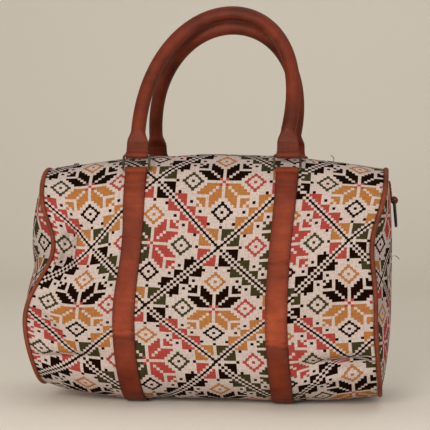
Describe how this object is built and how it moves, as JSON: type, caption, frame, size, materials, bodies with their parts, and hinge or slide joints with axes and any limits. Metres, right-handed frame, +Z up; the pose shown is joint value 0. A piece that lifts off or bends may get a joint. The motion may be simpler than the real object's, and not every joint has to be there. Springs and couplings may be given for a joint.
{
  "type": "duffel bag",
  "caption": "Soft barrel-shaped cloth duffel bag with a top zip, leather bands, wire rings, rolled handles, piped ends and D-rings for a shoulder strap.",
  "frame": {"origin": "middle of the bag on the surface that it stands on", "axes": "+X to the right along the zip, +Y to the back, +Z up"},
  "size_m": [0.3492, 0.1684, 0.3719],
  "materials": {
    "cloth": "coarse woven cream cloth with a traditional star and stepped-band pattern",
    "leather": "red-brown leather, worn satin",
    "handle_leather": "darker brown rolled leather, satin",
    "ring_wire": "aged greyish brass wire",
    "zip_tape": "dark brown woven tape",
    "zip_teeth": "dark brown coil",
    "dark_metal": "dark oxidised metal"
  },
  "bodies": {
    "bag": {"body_panel": "cloth", "end_panel_left": "cloth", "end_panel_right": "cloth", "piping_left": "leather", "piping_right": "leather", "strap_left": "leather", "strap_right": "leather", "zip_tape_front": "zip_tape", "zip_tape_rear": "zip_tape", "zip_coil_front": "zip_teeth", "zip_coil_rear": "zip_teeth", "side_tab_left": "leather", "side_tab_right": "leather"},
    "front_rings": {"ring_front_left": "ring_wire", "ring_front_right": "ring_wire"},
    "front_handle": {"handle_front": "handle_leather"},
    "rear_rings": {"ring_rear_left": "ring_wire", "ring_rear_right": "ring_wire"},
    "rear_handle": {"handle_rear": "handle_leather"},
    "slider": {"zip_slider": "dark_metal"},
    "puller": {"zip_puller": "dark_metal"},
    "left_dee": {"side_ring_left": "dark_metal"},
    "right_dee": {"side_ring_right": "dark_metal"}
  },
  "joints": [
    {"name": "front_rings_swing", "type": "hinge", "parent": "bag", "child": "front_rings", "pos_m": [0, -0.06809, 0.21746], "axis": [1, 0, 0], "range_deg": [0, 111]},
    {"name": "front_handle_swing", "type": "hinge", "parent": "front_rings", "child": "front_handle", "pos_m": [0, -0.06277, 0.23148], "axis": [1, 0, 0], "range_deg": [0, 58]},
    {"name": "rear_rings_swing", "type": "hinge", "parent": "bag", "child": "rear_rings", "pos_m": [0, 0.06809, 0.21746], "axis": [-1, 0, 0], "range_deg": [0, 118]},
    {"name": "rear_handle_swing", "type": "hinge", "parent": "rear_rings", "child": "rear_handle", "pos_m": [0, 0.0612, 0.23078], "axis": [-1, 0, 0], "range_deg": [0, 58]},
    {"name": "zip_travel", "type": "hinge", "parent": "bag", "child": "slider", "pos_m": [0.00525, 0, -0.67027], "axis": [0, 1, 0], "range_deg": [0, 17.66]},
    {"name": "puller_swing", "type": "hinge", "parent": "slider", "child": "puller", "pos_m": [-0.13348, 0, 0.22233], "axis": [0, 1, 0], "range_deg": [0, 165]},
    {"name": "left_dee_swing", "type": "hinge", "parent": "bag", "child": "left_dee", "pos_m": [-0.1667, 0, 0.1893], "axis": [0, 1, 0], "range_deg": [0, 128]},
    {"name": "right_dee_swing", "type": "hinge", "parent": "bag", "child": "right_dee", "pos_m": [0.17096, 0, 0.1893], "axis": [0, -1, 0], "range_deg": [0, 139]}
  ]
}
